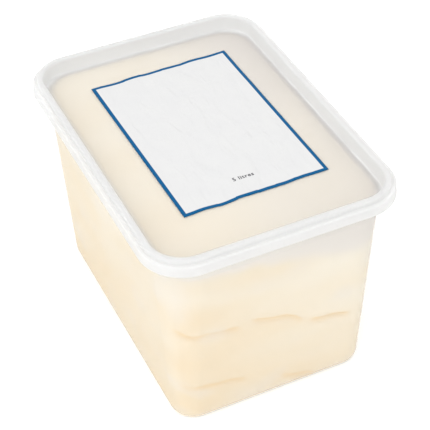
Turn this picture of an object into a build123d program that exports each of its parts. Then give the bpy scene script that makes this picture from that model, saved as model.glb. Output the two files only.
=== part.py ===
from build123d import *

import os
from math import pi, radians, sin, tan

# Five-litre ice cream tub: a thin-walled tub with a press-fit lid, a paper label that
# lies in the lid's recess, and the ice cream that fills the tub.
# Millimetres. Origin at the centre of the base, +Z up, +Y along the tub.
# A drop is measured down from the top of the lid's bead, an inset in from the edge of its lip.

# Overall, over the lip of the lid
overall_length = 247.0
overall_width = 180.0
overall_height = 164.3
lip_corner_radius = 30.5

# Lid
lid_wall = 0.9
lip_drop = 10.75            # lower edge of the lip
lip_flare = 0.6             # how far the lip stands out below the ledge
ledge_width = 2.7
ledge_chamfer = 1.6
ledge_drop = 6.95           # foot of the ledge, where the lip begins
bead_drop = 3.2             # foot of the bead, where the ledge begins
bead_taper = 0.2
bead_width = 4.7
bead_chamfer = 1.2
recess_depth = 11.05
recess_taper = 0.7          # how far the recess narrows from its top to its floor
panel_margin = 4.0          # flat strip of the panel that belongs to the rim section

# Tub
tub_wall = 0.9
floor_thickness = 1.1
lid_overhang = 8.9          # inset of the upright band below the lid
band_drop = 24.0            # lower edge of that band
band_step = 1.0             # how far the band stands proud of the drafted wall
band_corner_radius = 25.8
wall_draft = 3.15           # degrees
base_edge_radius = 7.0
rim_bead_height = 2.0
rim_edge_chamfer = 0.6

# Fits
lid_clearance = 0.25        # lid to rim, all round and above
fill_clearance = 0.3        # ice cream to the walls
headspace = 1.5             # top of the ice cream to the underside of the lid's panel
fill_edge_chamfer = 6.0     # how far the ice cream falls away at its top edge

# Label
label_width = 105.7
label_length = 156.2
label_thickness = 0.3
label_offset_x = 3.7        # from the centre of the lid
label_offset_y = 8.9
label_skew = 0.7            # degrees
label_wave = 0.55           # how far the short ends wander
label_wave_steps = 12

# Levels
panel_top = overall_height - recess_depth
panel_bottom = panel_top - lid_wall
shoulder_top = panel_bottom - lid_clearance
shoulder_bottom = shoulder_top - tub_wall
band_bottom = overall_height - band_drop
wall_top = band_bottom + tub_wall
rim_top = overall_height - lid_wall - lid_clearance
fill_level = panel_bottom - headspace

# Insets
bead_inset = lip_flare + ledge_width + bead_taper
recess_inset = bead_inset + bead_width
panel_inset = recess_inset + recess_taper
rim_bead_inset = bead_inset + lid_wall + lid_clearance
rim_inner_inset = recess_inset - lid_wall - lid_clearance
rim_inset = rim_inner_inset - tub_wall

# The drafted wall at the base
draft_run = tan(radians(wall_draft)) * band_bottom
base_inset = lid_overhang + band_step + draft_run
base_corner_radius = band_corner_radius - band_step - draft_run


def rounded_section(height, inset, corner_radius):
    """Rounded rectangle at a height, its sides the inset in from the edge of the lip."""
    with BuildSketch(Plane.XY.offset(height)) as section:
        RectangleRounded(overall_width - 2 * inset, overall_length - 2 * inset, corner_radius)
    return section.sketch


def nested_section(height, inset):
    """Rounded rectangle whose corners share their centres with the corners of the lip."""
    return rounded_section(height, inset, lip_corner_radius - inset)


def drafted_section(height, depth):
    """Section of the drafted wall, the depth in from the outside of the tub."""
    run = tan(radians(wall_draft)) * height - depth
    return rounded_section(height, base_inset - run, base_corner_radius + run)


def band_section(height, depth):
    """Section of the upright band, the depth in from the outside of the tub."""
    return rounded_section(height, lid_overhang + depth, band_corner_radius - depth)


def wavy_end(side):
    """Points of one short end of the label: a straight line plus two sines of its length."""
    points = []
    for step in range(label_wave_steps + 1):
        share = step / label_wave_steps
        rise = label_wave * sin(2 * pi * share) * sin(7 * pi * share + side)
        points.append(((share - 0.5) * label_width, side * label_length / 2 + rise))
    return points


# The space inside the tub: drafted, then upright, then wider above the shoulder
with BuildPart() as hollow:
    depth_of_hollow = wall_top - floor_thickness
    extrude(drafted_section(floor_thickness, tub_wall), amount=depth_of_hollow, taper=-wall_draft)
    fillet(hollow.faces().sort_by(Axis.Z)[0].edges(), base_edge_radius - tub_wall)
    extrude(band_section(wall_top, tub_wall), amount=shoulder_top - wall_top)
    extrude(nested_section(shoulder_top, rim_inner_inset), amount=rim_top - shoulder_top)

# The tub: a drafted wall, an upright band and, on a shoulder, the rim that the lid grips
with BuildPart() as tub:
    extrude(drafted_section(0, 0), amount=band_bottom, taper=-wall_draft)
    fillet(tub.faces().sort_by(Axis.Z)[0].edges(), base_edge_radius)
    extrude(band_section(band_bottom, 0), amount=shoulder_bottom - band_bottom)
    extrude(nested_section(shoulder_bottom, rim_inset), amount=rim_top - shoulder_bottom)
    extrude(nested_section(rim_top, rim_bead_inset), amount=-rim_bead_height)
    add(hollow.part, mode=Mode.SUBTRACT)
    chamfer(tub.faces().sort_by(Axis.Z)[-1].edges(), rim_edge_chamfer)

# The lid: one thin section carried round the rim, with the flat panel inside it
with BuildPart() as lid:
    with BuildSketch(Plane.XZ) as rim_section:
        with BuildLine():
            outline = [
                (panel_inset + panel_margin, recess_depth),
                (panel_inset, recess_depth),
                (recess_inset, bead_chamfer),
                (recess_inset - bead_chamfer, 0),
                (bead_inset + bead_chamfer, 0),
                (bead_inset, bead_chamfer),
                (bead_inset - bead_taper, bead_drop),
                (lip_flare + ledge_chamfer, bead_drop),
                (lip_flare, bead_drop + ledge_chamfer),
                (lip_flare, ledge_drop),
                (0, lip_drop),
            ]
            half_width = overall_width / 2
            Polyline(*[(half_width - inset, overall_height - drop) for inset, drop in outline])
            offset(amount=lid_wall, kind=Kind.INTERSECTION, side=Side.RIGHT)
        make_face()
    lip_path = nested_section(overall_height, recess_inset).wire()
    sweep(rim_section.sketch, path=lip_path)
    extrude(nested_section(panel_bottom, panel_inset + panel_margin), amount=lid_wall)

# The paper label, laid a little askew on the panel
label_plane = Plane(
    origin=(label_offset_x, label_offset_y, panel_top),
    x_dir=Vector(1, 0, 0).rotate(Axis.Z, label_skew),
)
with BuildPart() as label:
    with BuildSketch(label_plane):
        with BuildLine():
            back_end = wavy_end(1)
            front_end = wavy_end(-1)
            Spline(*back_end)
            Spline(*front_end)
            Line(back_end[0], front_end[0])
            Line(back_end[-1], front_end[-1])
        make_face()
    extrude(amount=label_thickness)

# The ice cream: fills the tub to just under the lid and falls away at its top edge
with BuildPart() as ice_cream:
    fill_gap = tub_wall + fill_clearance
    fill_depth = fill_level - floor_thickness
    extrude(drafted_section(floor_thickness, fill_gap), amount=fill_depth, taper=-wall_draft)
    fillet(ice_cream.faces().sort_by(Axis.Z)[0].edges(), base_edge_radius - tub_wall)
    chamfer(ice_cream.faces().sort_by(Axis.Z)[-1].edges(), fill_edge_chamfer)

os.makedirs("parts", exist_ok=True)
tub.part.label = "tub"
export_step(tub.part, "parts/tub.step")
lid.part.label = "lid"
export_step(lid.part, "parts/lid.step")
label.part.label = "label"
export_step(label.part, "parts/label.step")
ice_cream.part.label = "ice_cream"
export_step(ice_cream.part, "parts/ice_cream.step")

print(f"ice cream {ice_cream.part.volume / 1e6:.2f} litres")
print(f"tub {tub.part.volume / 1e3:.0f} cm3, lid {lid.part.volume / 1e3:.0f} cm3")
print(f"space inside the tub {hollow.part.volume / 1e6:.2f} litres")
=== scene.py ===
import math

import bpy
import numpy as np
from mathutils import Matrix, Vector


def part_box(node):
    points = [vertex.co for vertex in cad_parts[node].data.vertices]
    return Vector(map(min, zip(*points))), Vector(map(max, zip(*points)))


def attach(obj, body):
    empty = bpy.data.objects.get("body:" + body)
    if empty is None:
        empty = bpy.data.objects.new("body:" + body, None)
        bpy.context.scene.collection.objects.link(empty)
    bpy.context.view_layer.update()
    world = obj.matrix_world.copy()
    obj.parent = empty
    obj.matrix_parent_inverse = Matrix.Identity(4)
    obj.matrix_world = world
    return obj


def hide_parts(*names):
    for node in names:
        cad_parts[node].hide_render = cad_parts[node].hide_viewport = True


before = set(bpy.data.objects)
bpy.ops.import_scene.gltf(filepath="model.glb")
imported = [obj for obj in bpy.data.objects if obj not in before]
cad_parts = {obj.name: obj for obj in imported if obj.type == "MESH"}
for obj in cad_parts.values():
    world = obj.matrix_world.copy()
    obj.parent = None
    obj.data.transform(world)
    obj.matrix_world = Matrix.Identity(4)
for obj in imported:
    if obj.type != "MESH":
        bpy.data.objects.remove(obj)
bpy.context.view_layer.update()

mm = 0.001
halfX, halfY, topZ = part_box("lid")[1]       # the lid is the widest and the highest piece
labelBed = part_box("label")[0][2]            # height of the lid's panel under the label
lipCorner = 30.5 * mm                       # corner radius of the lid's lip, seen from above


def toLinear(code):
    # sRGB hex to linear red, green, blue and alpha
    parts = [int(code[i:i + 2], 16) / 255 for i in (0, 2, 4)]
    return [p / 12.92 if p <= 0.04045 else ((p + 0.055) / 1.055) ** 2.4 for p in parts] + [1.0]


def smoothStep(value):
    # 3 v squared - 2 v cubed between 0 and 1, level outside
    value = np.clip(value, 0, 1)
    return value * value * (3 - 2 * value)


def softNoise(points, size, seed, count=24):
    # a sum of plane waves in random directions, wavelengths near size, roughly -1 to 1
    draws = np.random.default_rng(seed)
    directions = draws.normal(size=(count, 3))
    directions /= np.linalg.norm(directions, axis=1)[:, None]
    waves = 2 * math.pi / (size * draws.uniform(0.7, 1.6, count))
    phases = draws.uniform(0, 2 * math.pi, count)
    angles = points @ (directions * waves[:, None]).T + phases
    return np.sin(angles).sum(axis=-1) / math.sqrt(count) * 0.8


def roundColumns(cornerSteps, longSteps, shortSteps):
    # once round a rounded rectangle: centre signs cx, cy and the outward angle of each column
    cx, cy, angle = [], [], []
    signs = [(1, -1), (1, 1), (-1, 1), (-1, -1)]
    for side in range(4):
        steps = longSteps if side % 2 == 0 else shortSteps
        share = np.arange(steps) / steps
        here, there = signs[side], signs[(side + 1) % 4]
        cx.append(here[0] + (there[0] - here[0]) * share)
        cy.append(here[1] + (there[1] - here[1]) * share)
        angle.append(np.full(steps, side * math.pi / 2))
        cx.append(np.full(cornerSteps, there[0]))
        cy.append(np.full(cornerSteps, there[1]))
        angle.append(side * math.pi / 2 + np.arange(cornerSteps) / cornerSteps * math.pi / 2)
    return np.concatenate(cx), np.concatenate(cy), np.concatenate(angle)


def roundedProfile(corners, steps=5):
    # a polyline through (inset, height, radius) with each corner replaced by an arc of that radius,
    # centred radius / sin(half the corner's angle) along its bisector
    pts = np.array([c[:2] for c in corners], float)
    out = [pts[:1]]
    for i in range(1, len(pts) - 1):
        before, after = pts[i - 1] - pts[i], pts[i + 1] - pts[i]
        lengths = np.linalg.norm(before), np.linalg.norm(after)
        before, after = before / lengths[0], after / lengths[1]
        half = math.acos(np.clip(before @ after, -1, 1)) / 2
        radius = corners[i][2]
        if radius == 0 or half > math.pi / 2 - 0.01:    # nothing to round
            out.append(pts[i:i + 1])
            continue
        reach = min(radius / math.tan(half), 0.49 * min(lengths))
        radius = reach * math.tan(half)
        middle = pts[i] + (before + after) / np.linalg.norm(before + after) * radius / math.sin(half)
        first, last = pts[i] + before * reach - middle, pts[i] + after * reach - middle
        sweep = math.atan2(first[0] * last[1] - first[1] * last[0], first @ last)
        turn = sweep * np.linspace(0, 1, steps + 1)
        cos, sin = np.cos(turn), np.sin(turn)
        out.append(np.stack([middle[0] + first[0] * cos - first[1] * sin,
                             middle[1] + first[0] * sin + first[1] * cos], 1))
    out.append(pts[-1:])
    return np.concatenate(out)


def carryRound(columns, inset, height, radius):
    # a profile carried round a rounded rectangle: x = cx (halfX - inset - radius) + radius cos(angle),
    # and y the same with halfY, cy and sin; the inset counts inwards from the lip
    cx, cy, angle = columns
    reachX, reachY = (halfX - inset)[:, None], (halfY - inset)[:, None]
    r = radius[:, None]
    x = cx * (reachX - r) + r * np.cos(angle)
    y = cy * (reachY - r) + r * np.sin(angle)
    return np.stack([x, y, np.broadcast_to(height[:, None], x.shape)], -1)


def gather(row, rings):
    # rings that shrink a row evenly towards its centre, without the row and the centre themselves
    share = np.linspace(1, 0, rings + 1)[1:-1, None, None]
    centre = row.mean(0) * [0, 0, 1]
    return centre + (row - centre) * share


def meshObject(name, verts, faces):
    # points and faces as a smooth object at the origin
    mesh = bpy.data.meshes.new(name)
    mesh.from_pydata(verts.tolist(), [], faces)
    mesh.polygons.foreach_set("use_smooth", np.ones(len(mesh.polygons), bool))
    mesh.update()
    piece = bpy.data.objects.new(name, mesh)
    bpy.context.scene.collection.objects.link(piece)
    return piece


def closedSurface(name, rows, startPole, endPole):
    # rows x columns of points, closed round, with a fan to a pole at each end
    count, width = rows.shape[:2]
    verts = np.concatenate([rows.reshape(-1, 3), [startPole, endPole]])
    i, j = np.meshgrid(np.arange(count - 1), np.arange(width), indexing="ij")
    k = (j + 1) % width
    quads = np.stack([i * width + j, i * width + k, (i + 1) * width + k, (i + 1) * width + j], -1)
    j = np.arange(width)
    k = (j + 1) % width
    first, last = count * width, count * width + 1
    low = np.stack([np.full(width, first), k, j], -1)
    high = np.stack([(count - 1) * width + j, (count - 1) * width + k, np.full(width, last)], -1)
    return meshObject(name, verts, quads.reshape(-1, 4).tolist() + low.tolist() + high.tolist())


def setMark(piece, name, values):
    # a value for each point, for a material to read; values end with the two poles
    attribute = piece.data.attributes.new(name, "FLOAT", "POINT")
    attribute.data.foreach_set("value", values)


def addNode(tree, kind, inputs=None, links=None, **settings):
    # a node with its settings, socket values and incoming links
    node = tree.nodes.new(kind)
    for key, value in settings.items():
        setattr(node, key, value)
    for key, value in (inputs or {}).items():
        node.inputs[key].default_value = value
    for key, source in (links or {}).items():
        tree.links.new(source, node.inputs[key])
    return node


def startMaterial(name, values):
    # a material with one principled shader that holds the given values
    material = bpy.data.materials.new(name)
    material.use_nodes = True
    tree = material.node_tree
    tree.nodes.clear()
    shader = addNode(tree, "ShaderNodeBsdfPrincipled", values)
    addNode(tree, "ShaderNodeOutputMaterial", links={"Surface": shader.outputs[0]})
    return material, tree, shader


camera = {
    "place": (-0.3039, -0.6798, 0.7309),
    "azimuth": -24.45,              # degrees, seen from the front left
    "elevation": 41.07,
    "roll": -1.4,
    "lens": 115.3,
    "sensor": 36,
    "farthest": 50,
}

lights = {
    "world": 0.92,
    "key": {"place": (-1.7, -0.8, 2.0), "size": 2.4, "power": 21.5},
    "front": {"place": (0.0, -2.2, 0.9), "size": 1.6, "power": 4.5},
    "fill": {"place": (1.8, 1.5, 1.2), "size": 2.0, "power": 6},
}

floorSheet = {
    "colour": "F7F7F7",
    "glow": 0.2,                    # what the camera sees is lifted to white, and the shadow stays
    "half": 6.0,                    # metres from the middle to an edge
}


def makeCamera():
    # back = (sin a cos e, -cos a cos e, sin e) points from the tub to the camera; right and up are
    # square to it and turned about it by the roll
    azimuth, elevation, roll = [math.radians(camera[k]) for k in ("azimuth", "elevation", "roll")]
    back = Vector((math.sin(azimuth) * math.cos(elevation),
                   -math.cos(azimuth) * math.cos(elevation), math.sin(elevation)))
    right = (-back).cross(Vector((0, 0, 1))).normalized()
    up = right.cross(-back)
    turned = Matrix.Rotation(roll, 3, -back)
    axes = Matrix((turned.inverted() @ right, turned.inverted() @ up, back)).transposed()
    data = bpy.data.cameras.new("camera")
    data.lens = camera["lens"]
    data.sensor_width = camera["sensor"]
    data.clip_end = camera["farthest"]
    holder = bpy.data.objects.new("camera", data)
    holder.matrix_world = Matrix.Translation(camera["place"]) @ axes.to_4x4()
    bpy.context.scene.collection.objects.link(holder)
    bpy.context.scene.camera = holder


def makeLights():
    # a white room, a little dimmer as a light than to the eye, and three square lamps that point at
    # the middle of the tub
    world = bpy.data.worlds.new("studio")
    bpy.context.scene.world = world
    world.use_nodes = True
    tree = world.node_tree
    tree.nodes.clear()
    path = addNode(tree, "ShaderNodeLightPath")
    seen = addNode(tree, "ShaderNodeMath", operation="MAXIMUM",
                   links={0: path.outputs["Is Camera Ray"], 1: path.outputs["Is Transmission Ray"]})
    white = addNode(tree, "ShaderNodeBackground", {"Color": (1, 1, 1, 1), "Strength": 1.0})
    soft = addNode(tree, "ShaderNodeBackground", {"Color": (1, 1, 1, 1), "Strength": lights["world"]})
    mix = addNode(tree, "ShaderNodeMixShader",
                  links={0: seen.outputs[0], 1: soft.outputs[0], 2: white.outputs[0]})
    addNode(tree, "ShaderNodeOutputWorld", links={"Surface": mix.outputs[0]})
    for name in ("key", "front", "fill"):
        lamp = lights[name]
        data = bpy.data.lights.new(name, "AREA")
        data.energy = lamp["power"]
        data.size = lamp["size"]
        holder = bpy.data.objects.new(name, data)
        holder.location = lamp["place"]
        aim = Vector((0, 0, topZ / 2)) - Vector(lamp["place"])
        holder.rotation_euler = aim.to_track_quat("-Z", "Y").to_euler()
        bpy.context.scene.collection.objects.link(holder)
    bpy.context.scene.view_settings.view_transform = "Standard"


def makeFloor():
    # a level square sheet of white matt paper
    material = bpy.data.materials.new("whiteSheet")
    material.use_nodes = True
    tree = material.node_tree
    tree.nodes.clear()
    diffuse = addNode(tree, "ShaderNodeBsdfDiffuse", {"Color": toLinear(floorSheet["colour"])})
    glow = addNode(tree, "ShaderNodeEmission", {"Color": (1, 1, 1, 1), "Strength": floorSheet["glow"]})
    dark = addNode(tree, "ShaderNodeEmission", {"Strength": 0.0})
    path = addNode(tree, "ShaderNodeLightPath")
    lift = addNode(tree, "ShaderNodeMixShader",
                   links={0: path.outputs["Is Camera Ray"], 1: dark.outputs[0], 2: glow.outputs[0]})
    both = addNode(tree, "ShaderNodeAddShader", links={0: diffuse.outputs[0], 1: lift.outputs[0]})
    addNode(tree, "ShaderNodeOutputMaterial", links={"Surface": both.outputs[0]})
    half = floorSheet["half"]
    corners = np.array([(-half, -half, 0), (half, -half, 0), (half, half, 0), (-half, half, 0)])
    floor = meshObject("floor", corners, [(0, 1, 2, 3)])
    floor.data.materials.append(material)


plastic = {
    "colour": "F6F6F5",
    "tubAlpha": 0.32,
    "lidAlpha": 0.38,
    "rimAlpha": 0.7,                # where several walls lie over each other
    "scatter": 0.7,                 # share of the light that wanders inside the plastic,
    "depth": 3.0 * mm,              # and how far it wanders
    "ior": 1.49,
    "roughness": (0.28, 0.38),
    "flowSize": 22 * mm,            # faint flow marks left by moulding
    "flowDepth": 0.2 * mm,
    "flowStrength": 0.05,
    "grainSize": 1.1 * mm,          # the skin's grain, coarser than the real one so that it shows
    "grainDepth": 0.05 * mm,
    "grainStrength": 0.02,
}


def naturalPolypropylene(name, alpha, rimAlpha=None):
    # undyed injection-moulded polypropylene: milky, see-through where something lies against
    # it, with a soft waxy gloss and faint flow marks
    material, tree, shader = startMaterial(name, {
        "Base Color": toLinear(plastic["colour"]), "IOR": plastic["ior"], "Alpha": alpha,
        "Subsurface Weight": plastic["scatter"], "Subsurface Scale": plastic["depth"],
        "Subsurface Radius": (1.0, 1.0, 1.0)})
    if rimAlpha:
        rim = addNode(tree, "ShaderNodeAttribute", attribute_name="rim")
        veil = addNode(tree, "ShaderNodeMapRange", {"To Min": alpha, "To Max": rimAlpha},
                       {"Value": rim.outputs["Fac"]})
        tree.links.new(veil.outputs[0], shader.inputs["Alpha"])
    place = addNode(tree, "ShaderNodeTexCoord").outputs["Object"]
    flow = addNode(tree, "ShaderNodeTexNoise", {"Scale": 1 / plastic["flowSize"], "Detail": 3.0},
                   {"Vector": place})
    grain = addNode(tree, "ShaderNodeTexNoise", {"Scale": 1 / plastic["grainSize"], "Detail": 2.0},
                    {"Vector": place})
    smoothest, roughest = plastic["roughness"]
    rough = addNode(tree, "ShaderNodeMapRange", {"To Min": smoothest, "To Max": roughest},
                    {"Value": flow.outputs[0]})
    tree.links.new(rough.outputs[0], shader.inputs["Roughness"])
    shallow = addNode(tree, "ShaderNodeBump",
                      {"Strength": plastic["flowStrength"], "Distance": plastic["flowDepth"]},
                      {"Height": flow.outputs[0]})
    fine = addNode(tree, "ShaderNodeBump",
                   {"Strength": plastic["grainStrength"], "Distance": plastic["grainDepth"]},
                   {"Height": grain.outputs[0], "Normal": shallow.outputs[0]})
    tree.links.new(fine.outputs[0], shader.inputs["Normal"])
    return material


tub = {
    "wall": 0.9 * mm,
    "floorThickness": 1.1 * mm,
    "draft": math.tan(math.radians(3.15)),
    "bandInset": 8.9 * mm,          # upright band below the lid, in from the lip
    "bandBottom": topZ - 24 * mm,
    "bandStep": 1.0 * mm,
    "bandCorner": 25.8 * mm,
    "baseEdge": 7.0 * mm,
    "floorReach": 2.2,              # the flat of the floor starts this many edge radii inwards
    "rimInset": 6.15 * mm,
    "rimBeadInset": 4.65 * mm,
    "rimInner": 7.05 * mm,
    "rimTop": topZ - 1.15 * mm,
    "rimBeadHeight": 2.0 * mm,
    "shoulderTop": topZ - 12.2 * mm,
    "fillet": 0.4 * mm,
    "bandFillet": 0.45 * mm,
    "stepFillet": 0.5 * mm,
    "rimFillet": 0.6 * mm,
    "columns": (24, 60, 44),        # steps round each corner, along a long side, along a short side
    "rings": 9,
}


def draftedInset(height, depth=0.0):
    # inset of the drafted wall at a height, the depth in from the outside of the tub
    top = tub["bandInset"] + tub["bandStep"]
    return top + (tub["bandBottom"] - height) * tub["draft"] + depth


def tubCorner(inset, height):
    # corner radius: nested with the lip above the shoulder, with the band below it
    nested = lipCorner - inset
    own = tub["bandCorner"] + tub["bandInset"] - inset
    return np.where(height > tub["shoulderTop"] - 0.5 * tub["wall"], nested, own)


def makeTub():
    # the wall's outline carried round: out along the underside, up the outside with its draft, step
    # and shoulder, over the rim and back down the inside; rings fill the two faces of the floor
    wall, low = tub["wall"], tub["floorThickness"]
    step, shoulder = tub["bandBottom"], tub["shoulderTop"]
    fillet, rimFillet = tub["fillet"], tub["rimFillet"]
    beadLow = tub["rimTop"] - tub["rimBeadHeight"]
    edge = tub["baseEdge"]
    flat = tub["floorReach"] * edge
    outline = [
        (draftedInset(0) + flat, 0, 0),
        (draftedInset(0), 0, edge),
        (draftedInset(step), step, tub["stepFillet"]),
        (tub["bandInset"], step, tub["bandFillet"]),
        (tub["bandInset"], shoulder - wall, fillet),
        (tub["rimInset"], shoulder - wall, fillet),
        (tub["rimInset"], beadLow, fillet),
        (tub["rimBeadInset"], beadLow, fillet),
        (tub["rimBeadInset"], tub["rimTop"], rimFillet),
        (tub["rimInner"], tub["rimTop"], rimFillet),
        (tub["rimInner"], shoulder, fillet),
        (tub["bandInset"] + wall, shoulder, fillet),
        (tub["bandInset"] + wall, step + wall, fillet),
        (draftedInset(step, wall), step + wall, fillet),
        (draftedInset(low, wall), low, edge - wall),
        (draftedInset(low, wall) + flat, low, 0),
    ]
    inset, height = roundedProfile(outline).T
    rows = carryRound(roundColumns(*tub["columns"]), inset, height, tubCorner(inset, height))
    rings = tub["rings"]
    rows = np.concatenate([gather(rows[0], rings)[::-1], rows, gather(rows[-1], rings)])
    return closedSurface("tubShell", rows, (0, 0, 0), (0, 0, low))


lid = {
    "wall": 0.9 * mm,
    "panelDrop": 11.05 * mm,        # drops are from the top of the lid, insets from its lip
    "panelInset": 8.9 * mm,
    "panelReach": 6 * mm,           # width of the panel's edge, before the rings begin
    "recessInset": 8.2 * mm,
    "beadInset": 3.5 * mm,
    "beadTaper": 0.2 * mm,
    "beadDrop": 3.2 * mm,
    "ledgeInset": 0.6 * mm,
    "ledgeDrop": 6.95 * mm,
    "lipDrop": 10.75 * mm,
    "beadRadius": 1.9 * mm,
    "ledgeRadius": 2.4 * mm,
    "footRadius": 1.4 * mm,
    "footFade": 5.0 * mm,           # from the recess wall to where the panel is fully see-through
    "columns": (18, 70, 50),        # steps round each corner, along a long side, along a short side
    "rings": 12,
}


def makeLid():
    # the wall's outline carried round: out along the underside of the panel, up inside the recess
    # wall, over the bead and the ledge, round the lip and back along the top; rings fill the panel
    wall = lid["wall"]
    foot = lid["panelInset"] + lid["panelReach"]
    beadSide = lid["beadInset"] - lid["beadTaper"]
    outline = [                     # (inset, drop, corner radius)
        (foot, lid["panelDrop"] + wall, 0),
        (lid["panelInset"] - wall, lid["panelDrop"] + wall, lid["footRadius"] + wall),
        (lid["recessInset"] - wall, wall, lid["beadRadius"] - wall),
        (lid["beadInset"] + wall, wall, lid["beadRadius"] - wall),
        (beadSide + wall, lid["beadDrop"] + wall, 0.5 * mm),
        (lid["ledgeInset"] + wall, lid["beadDrop"] + wall, lid["ledgeRadius"] - wall),
        (lid["ledgeInset"] + wall, lid["ledgeDrop"], 0.6 * mm),
        (wall, lid["lipDrop"], 0.3 * mm),
        (0, lid["lipDrop"], 0.4 * mm),
        (lid["ledgeInset"], lid["ledgeDrop"], 0.8 * mm),
        (lid["ledgeInset"], lid["beadDrop"], lid["ledgeRadius"]),
        (beadSide, lid["beadDrop"], 0.7 * mm),
        (lid["beadInset"], 0, lid["beadRadius"]),
        (lid["recessInset"], 0, lid["beadRadius"]),
        (lid["panelInset"], lid["panelDrop"], lid["footRadius"]),
        (foot, lid["panelDrop"], 0),
    ]
    profile = roundedProfile([(inset, topZ - drop, radius) for inset, drop, radius in outline], 6)
    inset, height = profile.T
    rows = carryRound(roundColumns(*lid["columns"]), inset, height, lipCorner - inset)
    rings = lid["rings"]
    rows = np.concatenate([gather(rows[0], rings)[::-1], rows, gather(rows[-1], rings)])
    centre = topZ - lid["panelDrop"]
    piece = closedSurface("lidShell", rows, (0, 0, centre - wall), (0, 0, centre))
    # the rim is lid over tub, several walls deep, so it is marked to look whiter
    nearFoot = 1 - (inset - lid["panelInset"]) / lid["footFade"]
    rim = np.where(inset < lid["recessInset"] - wall, 1, np.clip(nearFoot, 0, 1))
    panel = np.zeros(rings - 1)
    rim = np.concatenate([panel, rim, panel])
    setMark(piece, "rim", np.append(np.repeat(rim, rows.shape[1]), [0, 0]))
    return piece


iceCream = {
    "reach": 0.35 * mm,             # how far it reaches into the wall where it touches
    "roughness": 0.02 * mm,         # small unevenness of its skin
    "skinSize": 6 * mm,
    "topRadius": 1.2 * mm,
    "flatReach": 1.2,               # a flat starts this many radii in from a rounded edge
    "frontLeftLevel": 137 * mm,     # where it stops touching the front wall, at its left end
    "frontRightLevel": 104 * mm,    # and at its right end
    "otherLevel": 133 * mm,
    "levelWaver": 4 * mm,           # how far those levels wander,
    "waverSize": 60 * mm,           # over this length,
    "levelRipple": 2 * mm,          # with a smaller ripple on top
    "rippleSize": 18 * mm,
    "paleLightFade": 12 * mm,           # height over which the painted pale light comes in
    "patchPale": 0.35,
    "patchSize": 38 * mm,
    "cornerPaintedLight": 0.45,             # how much paler it is where it bridges the corners: a painted highlight down the corners, with a painted reflection off the gap
    "cornerLevel": 90 * mm,
    "cornerFade": 16 * mm,
    "footPaintedLight": 0.7,                # and along the rounded base edge, painted light over the shade there
    "footHeight": 9 * mm,
    "warmth": 0.5,                  # 0 is cream, 1 is butter yellow
    "swirlWarmth": 0.17,
    "leftWarmth": 0.35,
    "lowWarmth": 0.62,
    "swirlSize": 60 * mm,
    "fineSwirlSize": 22 * mm,
    "panelPatchSize": 90 * mm,
    "panelSwirlSize": 50 * mm,
    "foldWidth": 1.1,               # mm: a fold is a thin tan line with a soft glow below it, partly painted crease shade
    "glowWidth": 7.5,
    "foldTan": 0.35,                # strength of the line
    "glowTan": 0.5,                 # and of the glow
    "foldEnd": 7 * mm,              # length over which a fold fades at each end
    "foldWaver": 0.5 * mm,
    "foldWave": 3.1 * mm,
    "specks": [(-53.7 * mm, -112.2 * mm, 126 * mm), (-50.7 * mm, -104.9 * mm, 152.7 * mm)],
    "speckSize": 0.7 * mm,
    "creamColour": "FDF4E0",
    "butterColour": "FAE4BA",
    "foldTanAndShade": "F4CF85",
    "speckColour": "857A66",
    # colours of the painted pale light: lit at the left, with painted shade at the right
    "leftPaleLit": "F6F0E6",
    "rightPaleShaded": "E2DAD3",
    "wallShadeShare": 0.55,               # share of the painted shade towards the right that shows on the walls
    "crystalSize": 2.5 * mm,        # ice crystals, coarser than the real ones so that they show
    "rows": 112,
    "columns": (26, 160, 110),      # steps round each corner, along a long side, along a short side
    "footRings": 12,
    "topRings": 25,
}

# folds pressed against the front wall, as (x, z) along each crease, in mm
frontFolds = [
    [(-22, 84.5), (4, 77.5), (12, 74), (21, 65.5)],
    [(22, 64.5), (38, 62), (58, 57)],
    [(-92, 106), (-84, 101), (-74, 92), (-62, 86.5), (-47, 85), (-26, 81)],
    [(-90, 48), (-76, 38), (-54, 33.5), (-41, 32), (-20, 27)],
    [(2, 16.5), (18, 11), (34, 5)],
]


def iceCreamProfile():
    # up the inside of the tub: floor, rounded base edge, drafted wall, step, upright band, rounded
    # top edge, then resampled at even steps of its length, close enough for the folds to show
    wall, low, step = tub["wall"], tub["floorThickness"], tub["bandBottom"]
    ceiling = topZ - lid["panelDrop"] - lid["wall"]
    edge, topRadius = tub["baseEdge"] - wall, iceCream["topRadius"]
    band = tub["bandInset"] + wall
    profile = roundedProfile([
        (draftedInset(low, wall) + iceCream["flatReach"] * edge, low, 0),
        (draftedInset(low, wall), low, edge),
        (draftedInset(step, wall), step, 0.5 * mm),
        (band, step + wall, 0.5 * mm),
        (band, ceiling, topRadius),
        (band + iceCream["flatReach"] * topRadius, ceiling, 0),
    ], 8)
    steps = np.linalg.norm(np.diff(profile, axis=0), axis=1)
    places = np.concatenate([[0], np.cumsum(steps)])
    even = np.linspace(0, places[-1], iceCream["rows"])
    return np.interp(even, places, profile[:, 0]), np.interp(even, places, profile[:, 1])


def outwardNormals(inset, height, angle):
    # the profile's tangent turned by a right angle, then swung to each column's own angle
    tangent = np.stack([-np.gradient(inset), np.gradient(height)], 1)
    tangent /= np.linalg.norm(tangent, axis=1)[:, None]
    outward, upward = tangent[:, 1:], -tangent[:, :1]
    return np.stack([outward * np.cos(angle), outward * np.sin(angle),
                     np.broadcast_to(upward, (len(inset), len(angle)))], -1)


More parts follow.
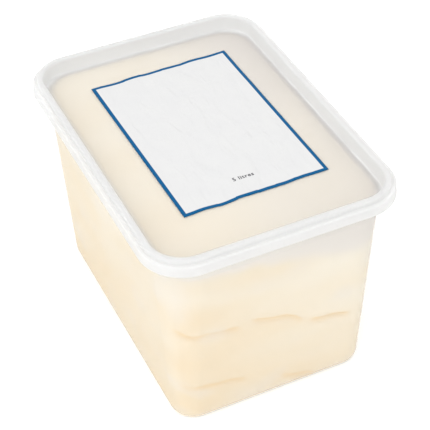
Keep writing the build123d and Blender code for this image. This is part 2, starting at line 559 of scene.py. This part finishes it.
def nearestFold(x, z, folds):
    # height above the nearest crease in mm, and how present that crease is: 1 along it,
    # fading to 0 at its two ends
    farAway, limit = 50.0, 20.0
    away = np.full(x.shape, farAway)
    present = np.zeros_like(x)
    for fold in folds:
        alongX, alongZ = np.array(fold).T * mm
        curve = np.interp(x, alongX, alongZ)
        curve = curve + iceCream["foldWaver"] * np.sin(x / iceCream["foldWave"])
        start = smoothStep((x - alongX[0]) / iceCream["foldEnd"])
        ends = start * smoothStep((alongX[-1] - x) / iceCream["foldEnd"])
        rise = (z - curve) / mm
        nearer = (np.abs(rise) < np.abs(away)) & (ends > 0)
        away = np.where(nearer, rise, away)
        present = np.where(nearer, ends, present)
    return np.clip(away, -limit, limit), present


def wallPaintedPaleLight(rows, angle, onFront):
    # painted pale light, the greatest of four: how far a point lies above the level where the ice cream
    # lets go of the wall (a painted reflection off the gap there), soft patches, a painted highlight at the
    # bridged corners, and painted light over the shade along the rounded base edge
    x, z = rows[..., 0], rows[..., 2]
    share = np.clip(x / halfX * 0.5 + 0.5, 0, 1)
    frontLevel = iceCream["frontLeftLevel"] + share ** 1.3 * (
        iceCream["frontRightLevel"] - iceCream["frontLeftLevel"])
    level = frontLevel * onFront + iceCream["otherLevel"] * (1 - onFront)
    level = level + iceCream["levelWaver"] * softNoise(rows * [1, 1, 0.3], iceCream["waverSize"], 3)
    level = level + iceCream["levelRipple"] * softNoise(rows, iceCream["rippleSize"], 4)
    paintedPaleLight = smoothStep((z - level) / iceCream["paleLightFade"])
    patches = smoothStep((softNoise(rows * [1, 1, 1.6], iceCream["patchSize"], 7) - 0.4) / 0.9)
    paintedPaleLight = np.maximum(paintedPaleLight, iceCream["patchPale"] * patches)
    # painted highlight down the corners, paler where the ice cream bridges them
    atCorner = np.abs(np.sin(2 * angle))[None, :] ** 3
    bridged = atCorner * smoothStep((z - iceCream["cornerLevel"]) / iceCream["cornerFade"])
    paintedPaleLight = np.maximum(paintedPaleLight, iceCream["cornerPaintedLight"] * bridged)
    # painted light along the rounded base edge, over its shade
    return np.maximum(paintedPaleLight, iceCream["footPaintedLight"] * smoothStep(1 - z / iceCream["footHeight"]))


def wallWarm(rows, onFront):
    # layers settled in filling: long flat swirls, yellower low down and towards the left
    x, z = rows[..., 0], rows[..., 2]
    swirl = softNoise(rows * [0.8, 0.8, 2.6], iceCream["swirlSize"], 31)
    swirl = swirl + 0.35 * softNoise(rows * [0.6, 0.6, 3.2], iceCream["fineSwirlSize"], 32)
    warm = iceCream["warmth"] + iceCream["swirlWarmth"] * swirl
    warm = warm - iceCream["leftWarmth"] * x / halfX * onFront
    return warm - iceCream["lowWarmth"] * (z / topZ - 0.45)


def panelPaintedPaleLight(x, y):
    # painted pale light under the panel: the ice cream is pressed to the panel at the left, and painted
    # paler to the right and the back, standing in for the reflection where it does not touch
    points = np.stack([x, y, np.zeros_like(x)], -1)
    patches = softNoise(points, iceCream["panelPatchSize"], 11)
    lean = x / halfX * 0.6 + y / halfY * 0.35 + 0.3 * patches
    return 0.3 + 0.65 * smoothStep((lean + 0.5) / 1.5)


def panelWarm(x, y):
    # under the panel it is yellower along the left and near edges
    points = np.stack([x, y, np.zeros_like(x)], -1)
    swirl = softNoise(points, iceCream["panelSwirlSize"], 33)
    return 0.22 - 0.25 * x / halfX - 0.1 * y / halfY + 0.1 * swirl


def makeIceCream():
    # its profile carried round the tub and pushed out along its normals by reach; level rings close
    # it below, and above rings rise from the edge to reach just into the panel
    inset, height = iceCreamProfile()
    columns = roundColumns(*iceCream["columns"])
    angle = columns[2]
    rows = carryRound(columns, inset, height, tubCorner(inset, np.zeros_like(inset)))
    onFront = smoothStep((-np.sin(angle) - 0.4) / 0.5)[None, :]
    # painted pale light on the walls: a painted reflection off the gaps, a painted corner highlight and
    # painted light along the base edge
    paintedPaleLight = wallPaintedPaleLight(rows, angle, onFront)
    warm = wallWarm(rows, onFront)
    away, present = nearestFold(rows[..., 0], rows[..., 2], frontFolds)
    present = present * smoothStep((onFront - 0.2) / 0.6)
    skin = iceCream["reach"] + iceCream["roughness"] * softNoise(rows, iceCream["skinSize"], 9)
    rows = rows + outwardNormals(inset, height, angle) * skin[..., None]
    footRings, topRings = iceCream["footRings"], iceCream["topRings"]
    bottomZ = tub["floorThickness"] - iceCream["reach"]
    lift = topZ - lid["panelDrop"] - lid["wall"] + iceCream["reach"]
    top = gather(rows[-1], topRings)
    inwards = 1 - np.linspace(1, 0, topRings + 1)[1:-1, None]
    blend = smoothStep(inwards / 0.12)      # level from an eighth of the way in
    top[..., 2] = top[..., 2] * (1 - blend) + lift * blend
    rows = np.concatenate([gather(rows[0], footRings)[::-1], rows, top])
    piece = closedSurface("vanillaIceCream", rows, (0, 0, bottomZ), (0, 0, lift))
    below = np.zeros((footRings - 1) * rows.shape[1])
    topX, topY = top[..., 0].ravel(), top[..., 1].ravel()
    plain = np.zeros_like(topX)
    marks = {                       # on the wall, under the panel, at the panel's middle
        "away": (away, plain, 0),
        "present": (present, plain, 0),
        "paintedPaleLight": (paintedPaleLight, panelPaintedPaleLight(topX, topY), 0.4),
        "warm": (warm, panelWarm(topX, topY), 0.4),
    }
    for name, (onWall, onTop, atMiddle) in marks.items():
        setMark(piece, name, np.concatenate([below, onWall.ravel(), onTop, [0, atMiddle]]))
    return piece


def foldShade(tree):
    # 0 away from a crease; just below it a soft glow and a thin core, cut off just above it; this tan is
    # partly painted crease shade
    away = addNode(tree, "ShaderNodeAttribute", attribute_name="away").outputs["Fac"]
    present = addNode(tree, "ShaderNodeAttribute", attribute_name="present").outputs["Fac"]
    above = addNode(tree, "ShaderNodeMapRange", {"From Max": iceCream["foldWidth"]},
                    {"Value": away}, interpolation_type="SMOOTHSTEP")
    glow = addNode(tree, "ShaderNodeMapRange",
                   {"From Min": -iceCream["glowWidth"], "From Max": 0.0, "To Max": iceCream["glowTan"]},
                   {"Value": away}, interpolation_type="SMOOTHSTEP")
    core = addNode(tree, "ShaderNodeMapRange",
                   {"From Min": -iceCream["foldWidth"], "From Max": 0.0, "To Max": iceCream["foldTan"]},
                   {"Value": away}, interpolation_type="SMOOTHSTEP")
    below = addNode(tree, "ShaderNodeMath", links={0: glow.outputs[0], 1: core.outputs[0]})
    line = addNode(tree, "ShaderNodeMath", links={0: below.outputs[0], 1: above.outputs[0]},
                   operation="SUBTRACT", use_clamp=True)
    return addNode(tree, "ShaderNodeMath", links={0: line.outputs[0], 1: present},
                   operation="MULTIPLY").outputs[0]


def paintedPaleColour(tree, place):
    # the colour of the painted pale light: whitish, with painted shade towards the right, and more so under
    # the panel than on the walls
    split = addNode(tree, "ShaderNodeSeparateXYZ", links={0: place})
    across = addNode(tree, "ShaderNodeMapRange", {"From Min": -0.5 * halfX, "From Max": 0.8 * halfX},
                     {"Value": split.outputs["X"]})
    nearPanel = addNode(tree, "ShaderNodeMapRange",
                        {"From Min": topZ - 16 * mm, "From Max": topZ - 13 * mm,
                         "To Min": iceCream["wallShadeShare"]}, {"Value": split.outputs["Z"]})
    # painted shade, growing towards the right
    rightShade = addNode(tree, "ShaderNodeMath", links={0: across.outputs[0], 1: nearPanel.outputs[0]},
                   operation="MULTIPLY")
    paleTone = addNode(tree, "ShaderNodeMix",
                   {6: toLinear(iceCream["leftPaleLit"]), 7: toLinear(iceCream["rightPaleShaded"])},
                   {0: rightShade.outputs[0]}, data_type="RGBA")
    return paleTone.outputs[2]


def vanillaIceCream():
    # frozen whipped cream: pale yellow cream, matt, slightly patchy, darker tan in its folds with painted
    # crease shade, and painted pale light and shade where its marks say
    material, tree, shader = startMaterial("vanillaIceCream", {"Roughness": 0.6, "IOR": 1.35})
    place = addNode(tree, "ShaderNodeTexCoord").outputs["Object"]
    warm = addNode(tree, "ShaderNodeAttribute", attribute_name="warm")
    paintedPaleLight = addNode(tree, "ShaderNodeAttribute", attribute_name="paintedPaleLight")
    shade = addNode(tree, "ShaderNodeMix",
                    {6: toLinear(iceCream["creamColour"]), 7: toLinear(iceCream["butterColour"])},
                    {0: warm.outputs["Fac"]}, data_type="RGBA")
    # the tan along the creases: the cream's own deeper colour and painted crease shade
    tan = addNode(tree, "ShaderNodeMix", {7: toLinear(iceCream["foldTanAndShade"])},
                  {0: foldShade(tree), 6: shade.outputs[2]}, data_type="RGBA")
    # the cream mixed towards painted pale light where that mark says: painted reflection off the gaps,
    # painted light at the corners and the base edge
    pale = addNode(tree, "ShaderNodeMix",
                   links={0: paintedPaleLight.outputs["Fac"], 6: tan.outputs[2], 7: paintedPaleColour(tree, place)},
                   data_type="RGBA")
    colour = pale.outputs[2]
    for spot in iceCream["specks"]:
        gap = addNode(tree, "ShaderNodeVectorMath", {1: spot}, {0: place}, operation="DISTANCE")
        dot = addNode(tree, "ShaderNodeMapRange",
                      {"From Max": iceCream["speckSize"], "To Min": 0.7, "To Max": 0.0},
                      {"Value": gap.outputs["Value"]}, interpolation_type="SMOOTHSTEP")
        colour = addNode(tree, "ShaderNodeMix", {7: toLinear(iceCream["speckColour"])},
                         {0: dot.outputs[0], 6: colour}, data_type="RGBA").outputs[2]
    tree.links.new(colour, shader.inputs["Base Color"])
    crystals = addNode(tree, "ShaderNodeTexNoise",
                       {"Scale": 1 / iceCream["crystalSize"], "Detail": 3.0}, {"Vector": place})
    bump = addNode(tree, "ShaderNodeBump", {"Strength": 0.3, "Distance": 0.3 * mm},
                   {"Height": crystals.outputs[0]})
    tree.links.new(bump.outputs[0], shader.inputs["Normal"])
    return material


label = {
    "width": 105.7 * mm,
    "length": 156.2 * mm,
    "centre": (3.7 * mm, 8.9 * mm),
    "skew": math.radians(0.7),
    "wave": 0.55 * mm,              # height of the waves along the torn ends
    "waveTurns": 3.5,
    "jog": 0.3 * mm,                # small steps along the torn ends
    "jogRate": 23,
    "thickness": 0.2 * mm,
    "underside": 0.02 * mm,         # clear of the panel
    "border": 2.5 * mm,
    "cockle": 0.16 * mm,            # height of the soft wrinkles in the paper
    "cockleSize": 26 * mm,
    "fineCockleSize": 9 * mm,
    "steps": (110, 160),
    "paperColour": "E5E5E4",
    "paperShade": "E0E0E1",
    "borderInk": "005C90",
    "mottleSize": 14 * mm,
    "fibreSize": 0.8 * mm,          # coarser than real paper fibre so that it shows
    "wrinkleSize": 9 * mm,
    "wrinkleDepth": 3.0 * mm,
}

words = {
    "text": "5 litres",
    "width": 15.2 * mm,
    "centre": (3.2 * mm, -50.3 * mm),
    "extrude": 0.004,               # of the letters, before they are scaled to the width
    "bolder": 0.02,
    "spacing": 1.15,
    "curveSteps": 4,
    "rise": 0.03 * mm,              # above the paper
    "darkInk": "2B2A31",
    "paleInk": "47464D",
    "mottleSize": 0.7 * mm,
}


def labelHeight(x, y):
    # soft diagonal wrinkles: the paper's top, raised by cockle (1 + half a noise between -2 and 2)
    points = np.stack([x * 0.9 + y * 0.3, y * 0.5 - x * 0.4, np.zeros_like(x)], -1)
    broad, fine = softNoise(points, label["cockleSize"], 21), softNoise(points, label["fineCockleSize"], 22)
    cockle = broad + 0.5 * fine
    return labelBed + label["thickness"] + label["cockle"] * (1 + 0.5 * np.clip(cockle, -2, 2))


def tornEdge(u, phase, jogShare):
    # how far a short end strays: wave sin(2 pi u) sin(2 pi turns u + phase) plus a share of small
    # steps, a sine squared off; nothing at the two corners
    wave = label["wave"] * np.sin(2 * math.pi * u) * np.sin(2 * math.pi * label["waveTurns"] * u + phase)
    steps = smoothStep(np.sin(label["jogRate"] * u + 1) * 4) - 0.5
    return wave + jogShare * (label["jog"] * np.sin(math.pi * u) * steps)


def turnWithLabel(centre, x, y):
    # turned by the label's skew, then moved to centre
    cos, sin = math.cos(label["skew"]), math.sin(label["skew"])
    return centre[0] + x * cos - y * sin, centre[1] + x * sin + y * cos


def makeLabel():
    # a grid of u across and v along, with its short ends torn: strays fade with v to the 4th power;
    # the top follows the wrinkles, the underside is level, and a strip joins them all round
    u, v = np.meshgrid(np.linspace(0, 1, label["steps"][0]), np.linspace(0, 1, label["steps"][1]),
                       indexing="ij")
    x = (u - 0.5) * label["width"]
    y = (v - 0.5) * label["length"] + tornEdge(u, 1, 1) * v ** 4 + tornEdge(u, -1, -1.6) * (1 - v) ** 4
    x, y = turnWithLabel(label["centre"], x, y)
    top = np.stack([x, y, labelHeight(x, y)], -1)
    bottom = np.stack([x, y, np.full_like(x, labelBed + label["underside"])], -1)
    m, n = u.shape
    index = np.arange(m * n).reshape(m, n)
    quads = np.stack([index[:-1, :-1], index[1:, :-1], index[1:, 1:], index[:-1, 1:]], -1).reshape(-1, 4)
    under = quads[:, ::-1] + m * n
    loop = np.concatenate([index[:-1, 0], index[-1, :-1], index[:0:-1, -1], index[0, :0:-1]])
    after = np.roll(loop, -1)
    sides = np.stack([loop + m * n, after + m * n, after, loop], -1)
    verts = np.concatenate([top.reshape(-1, 3), bottom.reshape(-1, 3)])
    faces = np.concatenate([quads, under, sides])
    piece = meshObject("paperLabel", verts, faces.tolist())
    # the print's own map, in mm from a corner of the label
    place = np.stack([u * label["width"], v * label["length"]], -1).reshape(-1, 2) / mm
    corner = np.zeros(len(piece.data.loops), int)
    piece.data.loops.foreach_get("vertex_index", corner)
    layer = piece.data.uv_layers.new(name="print")
    layer.uv.foreach_set("vector", np.concatenate([place, place])[corner].ravel())
    return piece


def makeWords():
    # letters made a mesh, scaled to their width about their middle, turned with the label and laid
    # on its wrinkles
    curve = bpy.data.curves.new("lettering", "FONT")
    curve.body = words["text"]
    curve.extrude = words["extrude"]
    curve.offset = words["bolder"]
    curve.resolution_u = words["curveSteps"]
    curve.space_character = words["spacing"]
    text = bpy.data.objects.new("lettering", curve)
    mesh = bpy.data.meshes.new_from_object(text)
    mesh.name = "volumeText"
    bpy.data.objects.remove(text)
    bpy.data.curves.remove(curve)
    points = np.zeros(len(mesh.vertices) * 3)
    mesh.vertices.foreach_get("co", points)
    points = points.reshape(-1, 3)
    low, high = points.min(0), points.max(0)
    flat = (points - (low + high) / 2) * (words["width"] / (high[0] - low[0]))
    x, y = turnWithLabel(words["centre"], flat[:, 0], flat[:, 1])
    z = labelHeight(x, y) + words["rise"] + flat[:, 2]
    mesh.vertices.foreach_set("co", np.stack([x, y, z], -1).ravel())
    mesh.update()
    piece = bpy.data.objects.new("volumeText", mesh)
    bpy.context.scene.collection.objects.link(piece)
    return piece


def printedPaper():
    # white coated label paper with a printed blue border line along its edge
    material, tree, shader = startMaterial("printedPaper", {
        "Roughness": 0.5, "IOR": 1.5, "Specular IOR Level": 0.12})
    spot = addNode(tree, "ShaderNodeUVMap", uv_map="print").outputs[0]
    split = addNode(tree, "ShaderNodeSeparateXYZ", links={0: spot})
    edges = []
    for axis, size in ((0, label["width"]), (1, label["length"])):
        far = addNode(tree, "ShaderNodeMath", {0: size / mm}, {1: split.outputs[axis]},
                      operation="SUBTRACT")
        edges.append(addNode(tree, "ShaderNodeMath", operation="MINIMUM",
                             links={0: split.outputs[axis], 1: far.outputs[0]}))
    nearest = addNode(tree, "ShaderNodeMath", links={0: edges[0].outputs[0], 1: edges[1].outputs[0]},
                      operation="MINIMUM")
    width, soft = label["border"] / mm, 0.1
    line = addNode(tree, "ShaderNodeMapRange", {"From Min": width - soft, "From Max": width + soft,
                   "To Min": 1.0, "To Max": 0.0}, {"Value": nearest.outputs[0]})
    place = addNode(tree, "ShaderNodeTexCoord").outputs["Object"]
    mottle = addNode(tree, "ShaderNodeTexNoise", {"Scale": 1 / label["mottleSize"], "Detail": 4.0},
                     {"Vector": place})
    paper = addNode(tree, "ShaderNodeMix",
                    {6: toLinear(label["paperColour"]), 7: toLinear(label["paperShade"])},
                    {0: mottle.outputs[0]}, data_type="RGBA")
    ink = addNode(tree, "ShaderNodeMix", {7: toLinear(label["borderInk"])},
                  {0: line.outputs[0], 6: paper.outputs[2]}, data_type="RGBA")
    tree.links.new(ink.outputs[2], shader.inputs["Base Color"])
    fibre = addNode(tree, "ShaderNodeTexNoise", {"Scale": 1 / label["fibreSize"], "Detail": 4.0},
                    {"Vector": place})
    turned = addNode(tree, "ShaderNodeMapping", {"Rotation": (0, 0, 0.7), "Scale": (1, 0.35, 1)},
                     {"Vector": place})
    wrinkle = addNode(tree, "ShaderNodeTexNoise",
                      {"Scale": 1 / label["wrinkleSize"], "Detail": 2.0, "Distortion": 0.6},
                      {"Vector": turned.outputs[0]})
    creased = addNode(tree, "ShaderNodeBump", {"Strength": 0.5, "Distance": label["wrinkleDepth"]},
                      {"Height": wrinkle.outputs[0]})
    bump = addNode(tree, "ShaderNodeBump", {"Strength": 0.08, "Distance": 0.05 * mm},
                   {"Height": fibre.outputs[0], "Normal": creased.outputs[0]})
    tree.links.new(bump.outputs[0], shader.inputs["Normal"])
    return material


def printInk():
    # dark grey printing ink, a little uneven where it sinks into the paper
    material, tree, shader = startMaterial("greyInk", {"Roughness": 0.5})
    place = addNode(tree, "ShaderNodeTexCoord").outputs["Object"]
    mottle = addNode(tree, "ShaderNodeTexNoise", {"Scale": 1 / words["mottleSize"]}, {"Vector": place})
    shade = addNode(tree, "ShaderNodeMix",
                    {6: toLinear(words["darkInk"]), 7: toLinear(words["paleInk"])},
                    {0: mottle.outputs[0]}, data_type="RGBA")
    tree.links.new(shade.outputs[2], shader.inputs["Base Color"])
    return material


makeCamera()
makeLights()
makeFloor()
print("camera, light and floor made")

tubShell = makeTub()
tubShell.data.materials.append(naturalPolypropylene("tubPolypropylene", plastic["tubAlpha"]))
print("tub made")
lidShell = makeLid()
lidShell.data.materials.append(naturalPolypropylene("lidPolypropylene", plastic["lidAlpha"],
                                                    plastic["rimAlpha"]))
print("lid made")
filling = makeIceCream()
filling.data.materials.append(vanillaIceCream())
print("ice cream made")
paper = makeLabel()
paper.data.materials.append(printedPaper())
lettering = makeWords()
lettering.data.materials.append(printInk())
print("label made")

for piece, node, slotName in ((tubShell, "tub", "tub_plastic"), (lidShell, "lid", "lid_plastic"),
                              (filling, "ice_cream", "ice_cream"), (paper, "label", "label_paper")):
    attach(piece, "root")
    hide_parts(node)
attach(lettering, "root")
